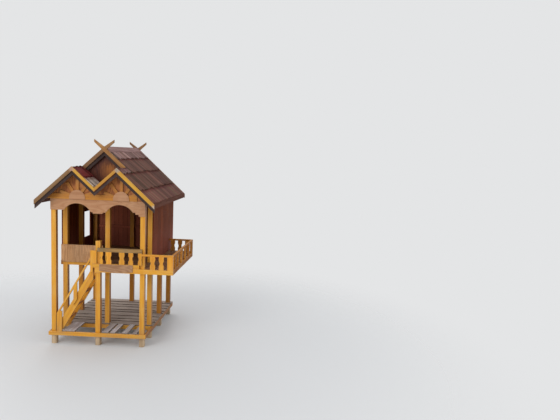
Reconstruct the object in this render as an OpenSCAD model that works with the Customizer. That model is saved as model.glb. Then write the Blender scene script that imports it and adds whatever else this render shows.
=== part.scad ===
/* [Posts] */
// Side of each square timber post
post_side = 44; // [38:1:56]
// Distance from the middle column of posts to each side column
column_gap = 405; // [360:5:460]
// Distance from the porch posts back to the posts at the front of the room
porch_depth = 248; // [225:1:300]
// Distance from the room's front posts back to the middle posts
front_bay = 372; // [320:1:440]
// Distance from the middle posts back to the rear posts
back_bay = 395; // [340:1:460]
// Height of the tall posts, from the ground to the eaves plate
post_top = 1345; // [1300:5:1420]
// Height of the short post beside the stair head
newel_top = 973; // [940:1:1040]

/* [Base frame] */
// Height of the bare feet under the base rails
foot_height = 85; // [60:1:120]
// Height of a base rail
base_rail_height = 36; // [30:1:50]
// Thickness of the rails and floor beams
rail_thickness = 20; // [16:1:26]
// Thickness of the weathered deck slats and platform boards
slat_thickness = 12; // [9:1:16]
// Width of the open gap between two slats
slat_gap = 28; // [10:1:40]

/* [Upper floor] */
// Underside of the beams that carry the upper floor
beam_underside = 689; // [660:1:720]
// Height of an upper floor beam
beam_height = 42; // [34:1:52]
// Thickness of the floor boards
floor_board = 12; // [9:1:16]

/* [Porch front] */
// Height of the kerb beam that the porch balusters stand on
kerb_height = 37; // [30:1:46]
// Length of the kerb beam that runs past the short post towards the stair
kerb_tail = 18; // [10:1:40]
// Height of the balusters above the kerb
baluster_height = 111; // [95:1:140]
// Height of the weathered top rail of the porch
porch_rail_height = 34; // [24:1:40]
// Width of a flat baluster
baluster_width = 44; // [38:1:52]
// Depth of the rounded notch in each side of a baluster
notch_depth = 7; // [4:1:10]
// Height of the rounded notch in each side of a baluster
notch_height = 44; // [30:1:60]
// Length of kerb left bare between the valance and the right post
valance_stop = 80; // [40:1:110]
// Depth of the bare plywood valance at its ends
valance_depth = 62; // [56:1:76]
// Extra depth of the valance at its middle
valance_sag = 10; // [4:1:16]

/* [Balcony] */
// Width of the balcony beyond the posts
balcony_width = 263; // [220:1:320]
// Distance from the porch posts back to the rear edge of the balcony
balcony_length = 893; // [840:1:940]
// Height of the balcony balusters
balcony_baluster_height = 122; // [105:1:145]
// Height of the balcony handrail
balcony_rail_height = 17; // [14:1:26]
// Width of the corner boards of the balcony
corner_board = 54; // [46:1:64]

/* [Stair] */
// Number of treads between the deck and the upper floor
tread_count = 4; // [3:1:5]
// Pitch of the stair, in degrees
stair_pitch = 60; // [56:1:64]
// Depth of a stringer, square to its slope
stringer_depth = 60; // [52:1:84]
// Height of the plumb cut at the foot of a stringer
stringer_foot = 80; // [66:1:96]
// Thickness of the stringers, treads and stair rail
stringer_thickness = 16; // [12:1:20]
// Clear width between the two stringers
stair_width = 150; // [130:1:170]
// Depth of a tread
tread_depth = 60; // [50:1:76]
// Height of the lower newel above the deck
stair_newel_height = 180; // [150:1:220]
// Gap between the stringer and the stair's handrail, square to the slope
stair_rail_rise = 45; // [34:1:60]
// Width of the stair's handrail, square to the slope
stair_rail_width = 15; // [12:1:26]
// Width of the boards that carry the stair's handrail
stair_newel_width = 46; // [36:1:56]
// Width of the middle board under the stair's handrail
stair_baluster_width = 32; // [24:1:40]
// How far the stair's head board stops below the top of the porch rail
head_drop = 25; // [10:1:40]
// How far the stair's head board laps over the short post
head_lap = 15; // [8:1:22]

/* [Room] */
// Thickness of the wall boards
wall_board = 12; // [9:1:16]
// Height of the low panel at the front of the room
parapet_height = 168; // [140:1:210]
// How far that panel covers the beam below it
parapet_lap = 13; // [6:1:24]
// Width of the window in the left wall
window_width = 198; // [150:1:240]
// Height of the window in the left wall
window_height = 270; // [220:5:320]
// Height of the window sill above the floor
window_sill = 125; // [90:5:180]
// Height of the batten across the rear wall above the floor
batten_rise = 200; // [160:5:260]
// Height of the batten itself
batten_height = 30; // [20:1:40]
// Height of the plates along the top of the posts
plate_height = 48; // [30:1:60]
// Width of the plates along the top of the posts
plate_width = 40; // [34:1:44]

/* [Arch board] */
// Height of the arch board at its middle pendant
pendant_drop = 123; // [112:1:140]
// Height of plain board over each arch
arch_crown = 37; // [28:1:46]
// Radius of each arch
arch_radius = 142; // [130:1:148]
// Height of the arch board at its left leg
leg_drop = 101; // [90:1:112]
// Height of the arch board at its stepped right leg
right_leg_drop = 134; // [120:1:150]
// Width of the middle pendant at its foot
pendant_width = 88; // [70:1:100]
// Width of each small step beside the pendant and in the right leg
board_step = 30; // [22:1:36]
// Height of the yellow strip along the foot of the gables
tie_height = 48; // [38:1:56]
// Thickness of the yellow strip and of the rays
tie_thickness = 10; // [8:1:14]
// Distance from the right post's middle back to the end of the yellow strip
tie_stop = 48; // [30:1:80]
// Radius of the half round centre of each sunburst
sun_radius = 72; // [56:1:84]
// Height of that centre's middle above the arch board
sun_lift = 12; // [0:1:20]
// How far each sunburst sits to the right of its gable's peak
sun_offset = 18; // [0:1:26]
// Thickness of the half round centre
disc_thickness = 5; // [3:1:9]
// Number of rays in each sunburst
ray_count = 5; // [3:2:7]
// Angle between two rays, in degrees
ray_step = 35; // [25:1:40]
// Width of a ray
ray_width = 27; // [18:1:34]
// Length of a ray beyond the half round centre
ray_length = 92; // [60:1:110]

/* [Roof] */
// Half of the roof's width, from the ridge to an eave
roof_half = 532; // [495:1:560]
// Slope of the roof, in degrees
roof_pitch = 42.5; // [39:0.5:45]
// Thickness of the roof under the shingles, square to the slope
roof_board = 22; // [14:1:28]
// Thickness of one course of shingles at its lower edge
shingle_lip = 9; // [6:1:12]
// Overhang of the roof in front of the porch posts
front_overhang = 92; // [70:1:120]
// Overhang of the roof behind the rear posts
rear_overhang = 143; // [110:1:180]
// Distance from the porch posts back to the face of the main gable
gable_setback = 138; // [110:1:180]
// Distance from the face of the main gable back to its stained panel
main_panel_depth = 26; // [16:1:40]
// How far the peak of each front gable sits inside the middle of its bay
peak_shift = 5; // [0:1:12]
// Depth of the outer yellow bargeboards, square to the slope
bargeboard_depth = 30; // [24:1:42]
// Depth of the two inner bargeboards that meet in the valley
valley_board_depth = 24; // [18:1:36]
// Depth of the boards that cross at the main gable and at the rear
gable_board_depth = 33; // [26:1:42]
// Thickness of the bargeboards
bargeboard_thickness = 14; // [10:1:18]
// Depth of the dark board that shows below the yellow bargeboards
fascia_depth = 28; // [20:1:44]
// Width of each wing of the ridge cap
ridge_wing = 46; // [36:1:60]
// Thickness of the ridge cap
ridge_board = 8; // [6:1:12]
// Distance of a horn's tip from the middle of the ridge
horn_reach = 92; // [70:1:110]
// Height of a horn's tip above the crossing
horn_rise = 65; // [50:1:90]
// Height of the plumb cut at a horn's tip
horn_tip = 24; // [12:1:26]

/* [Hidden] */

half_post = post_side / 2;
row_room = porch_depth;
row_middle = row_room + front_bay;
row_rear = row_middle + back_bay;
outer_face = column_gap + half_post;
front_face = -half_post;
rear_face = row_rear + half_post;

base_top = foot_height + base_rail_height;
deck_top = base_top + slat_thickness;
beam_top = beam_underside + beam_height;
floor_top = beam_top + floor_board;
kerb_top = beam_top + kerb_height;
porch_rail_top = kerb_top + baluster_height + porch_rail_height;
balcony_edge = outer_face + balcony_width;

slope = tan(roof_pitch);
roof_thick = roof_board / cos(roof_pitch);
plate_half = plate_width / 2;
roof_under_at_plate = post_top + plate_height;
ridge_under = roof_under_at_plate + (column_gap + plate_half) * slope;
small_ridge_x = column_gap / 2 - peak_shift;
roof_front = -half_post - front_overhang;
roof_rear = row_rear + half_post + rear_overhang;
panel_face = front_face - wall_board;
main_panel_face = gable_setback + main_panel_depth;
valley_under = ridge_under - 2 * small_ridge_x * slope;
course_shares = [0, 0.2, 0.45, 0.74, 1];
// Thickness of a course of shingles at its upper edge, and the clearance under boards laid on it
shingle_head = 1;
clearance = 0.3;
embed = 4;
joist_side = -half_post - rail_thickness;
floor_split = row_room - half_post + rail_thickness / 2;

// Box between two corners given as ranges along each axis
module block(x, y, z) {
    translate([x[0], y[0], z[0]]) cube([x[1] - x[0], y[1] - y[0], z[1] - z[0]]);
}

// Upright plate whose outline is drawn in X and Z, from y0 back to y1
module upright(y0, y1) {
    translate([0, y1, 0]) rotate([90, 0, 0]) linear_extrude(y1 - y0) children();
}

module post(x, y, top) {
    translate([x - half_post, y - half_post, 0]) cube([post_side, post_side, top]);
}

// Base frame

module base_front_rail() {
    color("goldenrod")
        block([-outer_face - rail_thickness, outer_face + rail_thickness],
            [front_face - rail_thickness, front_face], [foot_height, base_top]);
}

module base_back_rail() {
    color("sienna")
        block([-outer_face - rail_thickness, outer_face + rail_thickness],
            [rear_face, rear_face + rail_thickness], [foot_height, base_top]);
}

module base_side_rails() {
    color("sienna")
        for (side = [-1, 1])
            translate([side * (outer_face + rail_thickness / 2), 0, 0])
                block([-rail_thickness / 2, rail_thickness / 2],
                    [front_face, rear_face], [foot_height, base_top]);
}

module base_cross_beam() {
    color("goldenrod")
        block([-outer_face, outer_face],
            [row_room - half_post - rail_thickness, row_room - half_post], [foot_height, base_top]);
}

// Posts

module porch_posts() {
    color("goldenrod") {
        post(-column_gap, 0, post_top);
        post(0, 0, newel_top);
        post(column_gap, 0, post_top);
    }
}

module room_front_posts() {
    color("goldenrod")
        for (x = [-column_gap, 0, column_gap]) post(x, row_room, post_top);
}

module middle_posts() {
    color("goldenrod")
        for (x = [-column_gap, column_gap]) post(x, row_middle, post_top);
}

module rear_posts() {
    color("goldenrod")
        for (x = [-column_gap, 0, column_gap]) post(x, row_rear, post_top);
}

// Every post, with a small clearance, to notch the floors round
module post_holes() {
    gap = 0.5;
    for (x = [-column_gap, 0, column_gap], y = [0, row_room, row_middle, row_rear])
        if (x != 0 || y != row_middle)
            translate([x - half_post - gap, y - half_post - gap, 0])
                cube([post_side + 2 * gap, post_side + 2 * gap, post_top]);
}

// Lower deck

deck_front = row_room - half_post - rail_thickness / 2;
deck_back = rear_face + rail_thickness;

// Middle of each open gap between the slats, as shares of the deck's length: no two are alike
slat_seams = [0, 0.114, 0.197, 0.314, 0.463, 0.548, 0.67, 0.77, 0.885, 1];

module deck_slats() {
    last = len(slat_seams) - 2;
    run = deck_back - deck_front;
    color("darkgray")
        difference() {
            for (i = [0:last])
                block([-outer_face - rail_thickness, outer_face + rail_thickness],
                    [deck_front + slat_seams[i] * run + (i > 0 ? slat_gap / 2 : 0),
                        deck_front + slat_seams[i + 1] * run - (i < last ? slat_gap / 2 : 0)],
                    [base_top, deck_top]);
            post_holes();
        }
}

// Left edge and width of each board of the front platform as shares of column_gap, one board missing
platform_row = [[-0.795, 0.277], [0.099, 0.15], [0.291, 0.114], [0.565, 0.119], [0.807, 0.091]];

module platform_boards() {
    color("gray")
        for (b = platform_row)
            block([b[0] * column_gap, (b[0] + b[1]) * column_gap],
                [front_face - rail_thickness / 2, deck_front - 2], [base_top, deck_top]);
}

// Upper floor frame

module balcony_front_beam() {
    color("goldenrod")
        block([-half_post, balcony_edge],
            [front_face - rail_thickness, front_face], [beam_underside, beam_top]);
}

// Set between the posts, in two lengths with the porch joist between them
module room_front_beam() {
    color("goldenrod")
        for (x = [[-column_gap + half_post, joist_side], [half_post, column_gap - half_post]])
            block(x, [row_room - half_post, row_room - half_post + rail_thickness], [beam_underside, beam_top]);
}

module floor_joists() {
    color("peru") {
        for (y = [row_middle, row_rear])
            block([-outer_face, outer_face],
                [y - half_post - rail_thickness, y - half_post], [beam_underside, beam_top]);
        block([joist_side, -half_post], [front_face, row_room + half_post], [beam_underside, beam_top]);
    }
}

module floor_side_beams() {
    color("peru") {
        block([-outer_face - rail_thickness, -outer_face],
            [row_room - half_post, rear_face], [beam_underside, beam_top]);
        block([outer_face, outer_face + rail_thickness],
            [front_face, rear_face], [beam_underside, beam_top]);
    }
}

module balcony_frame() {
    inner = outer_face + rail_thickness;
    color("goldenrod") {
        block([balcony_edge - rail_thickness, balcony_edge],
            [front_face, balcony_length], [beam_underside, beam_top]);
        for (y = [row_room - half_post, row_middle - half_post, balcony_length])
            block([inner, balcony_edge - rail_thickness + embed],
                [y - rail_thickness, y], [beam_underside, beam_top]);
    }
}

module porch_floor() {
    color("peru")
        difference() {
            block([joist_side, outer_face + rail_thickness], [front_face, floor_split], [beam_top, floor_top]);
            post_holes();
        }
}

module room_floor() {
    color("peru")
        difference() {
            block([-outer_face - rail_thickness, outer_face + rail_thickness],
                [floor_split, rear_face], [beam_top, floor_top]);
            post_holes();
        }
}

module balcony_floor() {
    color("peru")
        block([outer_face + rail_thickness, balcony_edge - rail_thickness],
            [front_face, balcony_length], [beam_top, floor_top]);
}

// Balustrades

// Outline of one flat baluster, centred on x = 0, with a rounded notch cut into each side
module baluster_outline(height, width) {
    radius = (notch_depth * notch_depth + notch_height * notch_height / 4) / (2 * notch_depth);
    difference() {
        translate([-width / 2, 0]) square([width, height + embed]);
        for (side = [-1, 1])
            translate([side * (width / 2 - notch_depth + radius), height / 2]) circle(r = radius, $fn = 72);
    }
}

// A row of balusters under a rail: outline in X and Z from x = 0, base at z = 0
// Each baluster is given by its centre as a share of the length and its width as a share of baluster_width
module balustrade_outline(length, height, rail, row) {
    for (b = row) translate([b[0] * length, 0]) baluster_outline(height, b[1] * baluster_width);
    translate([0, height]) square([length, rail]);
}

// The handmade balusters stand unevenly and differ in width
porch_row = [[0.094, 0.64], [0.26, 1.05], [0.55, 1.14], [0.753, 0.95], [0.963, 0.9]];
balcony_front_row = [[0.344, 1.05], [0.621, 1]];
balcony_side_row = [[0.107, 1], [0.25, 1], [0.427, 1], [0.611, 1], [0.795, 1]];
balcony_rear_row = [[0.17, 1], [0.5, 1], [0.83, 1]];

module porch_balustrade() {
    color("goldenrod")
        translate([0, 0, kerb_top]) upright(front_face - rail_thickness, front_face)
            difference() {
                balustrade_outline(column_gap, baluster_height, porch_rail_height, porch_row);
                translate([column_gap, 0]) square([baluster_width, baluster_height]);
            }
}

module porch_kerb() {
    color("goldenrod")
        block([-half_post - kerb_tail, column_gap - half_post],
            [front_face - rail_thickness, front_face], [beam_top, kerb_top]);
}

module porch_valance() {
    left = half_post;
    right = column_gap - valance_stop;
    middle = (left + right) / 2;
    half = (right - left) / 2;
    radius = (half * half + valance_sag * valance_sag) / (2 * valance_sag);
    top = kerb_top - 2;
    color("rosybrown")
        upright(front_face - rail_thickness - wall_board / 2, front_face - rail_thickness)
            union() {
                translate([left, top - valance_depth]) square([right - left, valance_depth]);
                intersection() {
                    translate([left, top - valance_depth - valance_sag])
                        square([right - left, valance_sag + embed]);
                    translate([middle, top - valance_depth - valance_sag + radius])
                        circle(r = radius, $fn = 96);
                }
            }
}

balcony_front_run = balcony_edge - column_gap;

module balcony_front_balustrade() {
    color("goldenrod")
        translate([column_gap, 0, beam_top]) upright(front_face - rail_thickness, front_face)
            union() {
                balustrade_outline(balcony_front_run, balcony_baluster_height, balcony_rail_height,
                    balcony_front_row);
                translate([balcony_front_run - corner_board, 0])
                    square([corner_board, balcony_baluster_height + embed]);
            }
}

module balcony_side_balustrade() {
    run = balcony_length - front_face;
    color("goldenrod")
        translate([balcony_edge - rail_thickness, front_face, beam_top])
            rotate([90, 0, 90]) linear_extrude(rail_thickness) union() {
                balustrade_outline(run, balcony_baluster_height, balcony_rail_height, balcony_side_row);
                translate([run - corner_board, 0])
                    square([corner_board, balcony_baluster_height + embed]);
            }
}

module balcony_rear_balustrade() {
    run = balcony_edge - rail_thickness - outer_face - wall_board;
    color("goldenrod")
        translate([outer_face + wall_board, 0, floor_top])
            upright(balcony_length - rail_thickness, balcony_length)
                balustrade_outline(run, balcony_baluster_height - floor_board, balcony_rail_height,
                    balcony_rear_row);
}

// Stair

stair_front = front_face;
stair_back = stair_front + stair_width + 2 * stringer_thickness;
stair_rise = floor_top - deck_top;
stair_head_x = joist_side;
stair_run = (stair_rise - stringer_foot) / tan(stair_pitch);
stair_foot_x = stair_head_x - stair_run;

// Band that runs up the stair: its upper edge is this far above the stringer's, square to the slope
module stair_band(lift, depth) {
    reach = 2 * stair_run;
    top = deck_top + stringer_foot + lift / cos(stair_pitch);
    plumb = depth / cos(stair_pitch);
    polygon([[stair_foot_x - reach, top - reach * tan(stair_pitch)],
        [stair_foot_x + reach, top + reach * tan(stair_pitch)],
        [stair_foot_x + reach, top + reach * tan(stair_pitch) - plumb],
        [stair_foot_x - reach, top - reach * tan(stair_pitch) - plumb]]);
}

module stair_stringers() {
    color("goldenrod")
        for (y = [stair_front, stair_back - stringer_thickness])
            upright(y, y + stringer_thickness) intersection() {
                stair_band(0, stringer_depth);
                translate([stair_foot_x, deck_top]) square([stair_run, stair_rise]);
            }
}

module stair_treads() {
    riser = stair_rise / (tread_count + 1);
    // Height of the stringer's middle line above the deck at its foot
    middle = stringer_foot - stringer_depth / (2 * cos(stair_pitch));
    color("darkgoldenrod")
        for (i = [1:tread_count])
            translate([stair_foot_x + (i * riser - stringer_thickness / 2 - middle) / tan(stair_pitch)
                - tread_depth / 2, stair_front + stringer_thickness, deck_top + i * riser - stringer_thickness])
                cube([tread_depth, stair_width, stringer_thickness]);
}

// Boards nailed in front of the stringer carry the handrail; the upper one stands on the kerb too
head_left = stair_head_x - stair_newel_width / 2;
head_right = -half_post + head_lap;
head_top = porch_rail_top - head_drop;
newel_x = stair_foot_x - stair_newel_width / 2;

module stair_rail() {
    rail_back = stair_front;
    rail_face = stair_front - stringer_thickness;
    band_top = stair_rail_rise + stair_rail_width;
    color("goldenrod") union() {
        upright(rail_face, rail_back) intersection() {
            stair_band(band_top, stair_rail_width);
            translate([newel_x, base_top]) square([head_left + embed - newel_x, head_top - base_top]);
        }
        upright(rail_face, rail_back) intersection() {
            stair_band(band_top - 1, 5 * stringer_depth);
            translate([newel_x, base_top]) square([stair_newel_width, stair_newel_height + slat_thickness]);
        }
        upright(rail_face, rail_back) intersection() {
            stair_band(band_top - 1, band_top + stringer_depth / 2);
            translate([(newel_x + head_left) / 2, base_top]) square([stair_baluster_width, stair_rise]);
        }
        block([head_left, head_right], [rail_face, rail_back], [kerb_top, head_top]);
        block([head_left, -half_post - kerb_tail - 1], [rail_face, rail_back], [beam_underside, head_top]);
    }
}

// Room

module parapet_panel() {
    color("rosybrown")
        block([-outer_face - wall_board, joist_side],
            [row_room - half_post - wall_board, row_room - half_post],
            [beam_top - parapet_lap, beam_top - parapet_lap + parapet_height]);
}

module right_wall() {
    color("sienna")
        block([outer_face, outer_face + wall_board],
            [row_room - half_post, rear_face], [floor_top, post_top]);
}

module left_wall() {
    middle = (row_middle + row_rear) / 2;
    color("sienna")
        difference() {
            block([-outer_face - wall_board, -outer_face],
                [row_room - half_post, rear_face], [floor_top, post_top]);
            block([-outer_face - 2 * wall_board, -outer_face + wall_board],
                [middle - window_width / 2, middle + window_width / 2],
                [floor_top + window_sill, floor_top + window_sill + window_height]);
        }
}

module rear_wall() {
    color("sienna")
        block([-outer_face - wall_board, outer_face + wall_board],
            [rear_face, rear_face + wall_board], [beam_top, post_top]);
}

module rear_wall_batten() {
    color("sienna")
        for (side = [-1, 1])
            translate([side * column_gap / 2, 0, 0])
                block([half_post - column_gap / 2, column_gap / 2 - half_post],
                    [rear_face - wall_board, rear_face],
                    [floor_top + batten_rise, floor_top + batten_rise + batten_height]);
}

// Front boards

module wall_plates() {
    color("peru") {
        for (side = [-1, 1])
            translate([side * column_gap, 0, 0])
                block([-plate_half, plate_half], [front_face, rear_face], [post_top, roof_under_at_plate]);
        block([-plate_half, plate_half], [front_face, rear_face], [post_top, valley_under - 1]);
    }
}

// Middle of each arch as a share of column_gap: the board was cut by hand
arch_row = [-0.464, 0.491];

// Part of the arch board from x0 to x1, hanging this far below the tops of the posts
module board_part(x0, x1, drop) {
    translate([x0, post_top - drop]) square([x1 - x0, drop]);
}

module arch_board() {
    half_pendant = pendant_width / 2;
    arch_z = post_top - arch_crown - arch_radius;
    leg_x = arch_row[1] * column_gap + arch_radius;
    color("rosybrown")
        upright(panel_face, front_face)
            difference() {
                union() {
                    board_part(-outer_face, outer_face, leg_drop);
                    board_part(-half_pendant, half_pendant, pendant_drop);
                    board_part(-half_pendant - board_step, half_pendant + board_step,
                        (leg_drop + pendant_drop) / 2);
                    board_part(leg_x, outer_face, (leg_drop + right_leg_drop) / 2);
                    board_part(leg_x + board_step, outer_face, right_leg_drop);
                }
                for (share = arch_row)
                    translate([share * column_gap, arch_z]) circle(r = arch_radius, $fn = 96);
            }
}

// Underside of the twin front gables as a closed outline down to the eaves level
module front_gable_outline(foot) {
    reach = (ridge_under - foot) / slope;
    peak = ridge_under - small_ridge_x * slope;
    polygon([[-reach, foot], [-small_ridge_x, peak], [0, valley_under], [small_ridge_x, peak],
        [reach, foot]]);
}

module front_gable_panel() {
    color("darkorange") upright(panel_face, front_face) front_gable_outline(post_top);
}

module gable_tie_strip() {
    color("goldenrod")
        upright(panel_face - tie_thickness, panel_face) intersection() {
            front_gable_outline(post_top);
            translate([-roof_half, post_top]) square([roof_half + column_gap - tie_stop, tie_height]);
        }
}

// Half discs nailed on over the strip, with the rays behind them standing on the strip's upper edge
module sunbursts() {
    color("peru")
        for (x = [-small_ridge_x + sun_offset, small_ridge_x + sun_offset]) {
            upright(panel_face - tie_thickness, panel_face) intersection() {
                front_gable_outline(post_top + tie_height);
                translate([x, post_top + sun_lift])
                    for (i = [1:ray_count])
                        rotate(90 + (i - (ray_count + 1) / 2) * ray_step)
                            translate([sun_radius - ray_width / 2, -ray_width / 2])
                                square([ray_length + ray_width / 2, ray_width]);
            }
            upright(panel_face - tie_thickness - disc_thickness, panel_face - tie_thickness) intersection() {
                translate([x, post_top + sun_lift]) circle(r = sun_radius, $fn = 72);
                translate([x - sun_radius, post_top]) square(2 * sun_radius);
            }
        }
}

// Roof

// Stepped section of the right slope in X and Z, from the ridge out to the eave
module slope_section(inner, outer) {
    intersection() {
        union() {
            polygon([[0, ridge_under], [roof_half, ridge_under - roof_half * slope],
                [roof_half, ridge_under - roof_half * slope + roof_thick], [0, ridge_under + roof_thick]]);
            for (i = [0:3]) {
                x0 = roof_half * course_shares[i];
                x1 = roof_half * course_shares[i + 1];
                top0 = ridge_under + roof_thick - x0 * slope;
                top1 = ridge_under + roof_thick - x1 * slope;
                polygon([[x0, top0 - embed], [x1, top1 - embed],
                    [x1, top1 + shingle_lip], [x0, top0 + shingle_head]]);
            }
        }
        translate([inner, 0]) square([outer - inner, 4 * post_top]);
    }
}

module right_roof_slope() {
    color("rosybrown") {
        upright(gable_setback, roof_rear) slope_section(0, roof_half);
        upright(roof_front, gable_setback + embed) slope_section(small_ridge_x, roof_half);
    }
}

module left_roof_slope() {
    mirror([1, 0, 0]) right_roof_slope();
}

module valley_roof() {
    peak = ridge_under - small_ridge_x * slope;
    color("rosybrown")
        difference() {
            upright(roof_front, main_panel_face)
                polygon([[-small_ridge_x, peak], [0, valley_under], [small_ridge_x, peak],
                    [small_ridge_x, peak + roof_thick], [0, valley_under + roof_thick],
                    [-small_ridge_x, peak + roof_thick]]);
            upright(gable_setback, main_panel_face + 1)
                polygon([[-small_ridge_x, peak], [0, ridge_under], [small_ridge_x, peak],
                    [small_ridge_x, ridge_under], [-small_ridge_x, ridge_under]]);
        }
}

module main_gable_panel() {
    peak = ridge_under - small_ridge_x * slope;
    color("darkorange")
        upright(main_panel_face, main_panel_face + wall_board)
            polygon([[0, valley_under], [small_ridge_x, peak], [0, ridge_under], [-small_ridge_x, peak]]);
}

module rear_gable_panel() {
    reach = (ridge_under - post_top) / slope;
    color("sienna")
        upright(rear_face, rear_face + wall_board)
            polygon([[-reach, post_top], [0, ridge_under], [reach, post_top]]);
}

module ridge_cap() {
    lift = (shingle_lip - shingle_head) * ridge_wing / (roof_half * course_shares[1]);
    under = ridge_under + roof_thick + shingle_head + clearance + lift;
    color("tan")
        upright(gable_setback, roof_rear)
            polygon([[-ridge_wing, under + ridge_board - ridge_wing * slope], [0, under + ridge_board],
                [ridge_wing, under + ridge_board - ridge_wing * slope],
                [ridge_wing, under - ridge_wing * slope], [0, under], [-ridge_wing, under - ridge_wing * slope]]);
}

// Height of the twin gables' line at a distance from the middle, for a line that would meet the ridge here
function twin_z(x, ridge_z) =
    x < small_ridge_x ? ridge_z - (2 * small_ridge_x - x) * slope : ridge_z - x * slope;

// Band along the twin gables from eave to eave, with its plumb depth on the outer and the inner slopes
module twin_band(ridge_z, outer, inner) {
    xs = [0, small_ridge_x, roof_half];
    // The undersides of an outer and an inner board meet a little inside the peak
    kink = small_ridge_x - (outer - inner) / (2 * slope);
    polygon(concat(
        [for (i = [2:-1:1]) [-xs[i], twin_z(xs[i], ridge_z)]],
        [for (i = [0:2]) [xs[i], twin_z(xs[i], ridge_z)]],
        [[roof_half, ridge_z - roof_half * slope - outer], [kink, ridge_z - kink * slope - outer],
            [0, twin_z(0, ridge_z) - inner], [-kink, ridge_z - kink * slope - outer],
            [-roof_half, ridge_z - roof_half * slope - outer]]));
}

board_line = ridge_under + roof_thick + shingle_lip;

// Plumb depth below the roof's underside of a dark board that shows below a yellow one this deep
function fascia_plumb(depth) = (depth + fascia_depth) / cos(roof_pitch) - (board_line - ridge_under);

module front_bargeboards() {
    color("gold")
        upright(roof_front - bargeboard_thickness, roof_front)
            twin_band(board_line, bargeboard_depth / cos(roof_pitch), valley_board_depth / cos(roof_pitch));
}

// Dark boards under the roof's front edges, deeper than the yellow boards in front of them
module rake_fascia() {
    plumb = fascia_plumb(gable_board_depth);
    // Where the main gable's dark boards run down onto the valley
    reach = small_ridge_x - (roof_thick + clearance) / (2 * slope);
    short = reach - plumb / (2 * slope);
    color("dimgray") {
        upright(roof_front, roof_front + wall_board)
            twin_band(ridge_under, fascia_plumb(bargeboard_depth), fascia_plumb(valley_board_depth));
        upright(gable_setback, gable_setback + wall_board)
            polygon([[-reach, ridge_under - reach * slope], [0, ridge_under],
                [reach, ridge_under - reach * slope], [short, ridge_under - short * slope - plumb],
                [0, ridge_under - plumb], [-short, ridge_under - short * slope - plumb]]);
    }
}

// Gable board in X and Z: it slopes down to foot_x, and past the ridge it sweeps out as a tapered horn
module horned_board(foot_x) {
    plumb = gable_board_depth / cos(roof_pitch);
    foot_z = board_line - foot_x * slope;
    tip_z = board_line + horn_rise;
    polygon([[foot_x, foot_z], [0, board_line], [-horn_reach, tip_z], [-horn_reach, tip_z - horn_tip],
        [0, board_line - plumb], [foot_x, foot_z - plumb]]);
}

// Two horned boards that cross at the ridge, halved into each other there
module horns(y0, y1, foot_x) {
    middle = (y0 + y1) / 2;
    for (half = [[y0, middle, 0], [middle, y1, 1]]) {
        upright(half[0], half[1]) mirror([half[2], 0]) horned_board(foot_x);
        upright(half[0], half[1]) difference() {
            mirror([1 - half[2], 0]) horned_board(foot_x);
            mirror([half[2], 0]) horned_board(foot_x);
        }
    }
}

module main_gable_horns() {
    peak = ridge_under - small_ridge_x * slope + roof_thick + clearance;
    color("gold")
        difference() {
            horns(gable_setback - bargeboard_thickness, gable_setback, small_ridge_x);
            upright(roof_front, gable_setback + embed)
                polygon([[-small_ridge_x - embed, peak], [-small_ridge_x, peak],
                    [0, peak - small_ridge_x * slope], [small_ridge_x, peak], [small_ridge_x + embed, peak],
                    [small_ridge_x + embed, post_top], [-small_ridge_x - embed, post_top]]);
        }
}

module rear_gable_horns() {
    color("gold") horns(roof_rear, roof_rear + bargeboard_thickness, roof_half);
}

base_front_rail();
base_back_rail();
base_side_rails();
base_cross_beam();
porch_posts();
room_front_posts();
middle_posts();
rear_posts();
deck_slats();
platform_boards();
balcony_front_beam();
room_front_beam();
floor_joists();
floor_side_beams();
balcony_frame();
porch_floor();
room_floor();
balcony_floor();
porch_kerb();
porch_valance();
porch_balustrade();
balcony_front_balustrade();
balcony_side_balustrade();
balcony_rear_balustrade();
stair_stringers();
stair_treads();
stair_rail();
parapet_panel();
right_wall();
left_wall();
rear_wall();
rear_wall_batten();
wall_plates();
arch_board();
gable_tie_strip();
front_gable_panel();
sunbursts();
main_gable_panel();
rear_gable_panel();
right_roof_slope();
left_roof_slope();
valley_roof();
ridge_cap();
front_bargeboards();
rake_fascia();
main_gable_horns();
rear_gable_horns();
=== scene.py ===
import math
import random

import bmesh
import bpy
import numpy as np
from mathutils import Matrix, Vector, noise


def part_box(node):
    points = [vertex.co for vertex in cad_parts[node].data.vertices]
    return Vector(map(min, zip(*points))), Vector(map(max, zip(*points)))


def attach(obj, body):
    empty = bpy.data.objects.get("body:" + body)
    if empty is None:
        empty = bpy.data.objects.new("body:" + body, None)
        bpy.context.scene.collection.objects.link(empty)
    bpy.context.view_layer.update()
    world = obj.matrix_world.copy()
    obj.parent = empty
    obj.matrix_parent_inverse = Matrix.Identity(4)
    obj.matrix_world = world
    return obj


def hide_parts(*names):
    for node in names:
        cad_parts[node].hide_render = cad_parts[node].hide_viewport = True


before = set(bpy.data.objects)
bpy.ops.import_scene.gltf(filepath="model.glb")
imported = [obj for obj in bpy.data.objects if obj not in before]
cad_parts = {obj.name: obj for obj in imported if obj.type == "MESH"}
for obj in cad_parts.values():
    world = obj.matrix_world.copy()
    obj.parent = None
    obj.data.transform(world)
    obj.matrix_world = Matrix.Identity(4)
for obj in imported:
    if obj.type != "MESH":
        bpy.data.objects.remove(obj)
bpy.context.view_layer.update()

# Viewpoint: the camera stands to the right of the house with its lens as high as the ridge,
# turned slightly left, tipped down and held a little askew, as the tilted verticals show.
eye = Vector((1.731, -4.707, 1.812))
turned_left, tipped_down, held_askew = math.radians(1.22), math.radians(5.97), math.radians(2.24)
sensor_width, focal_px, photo_width_px = 36.0, 530, 560

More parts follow.
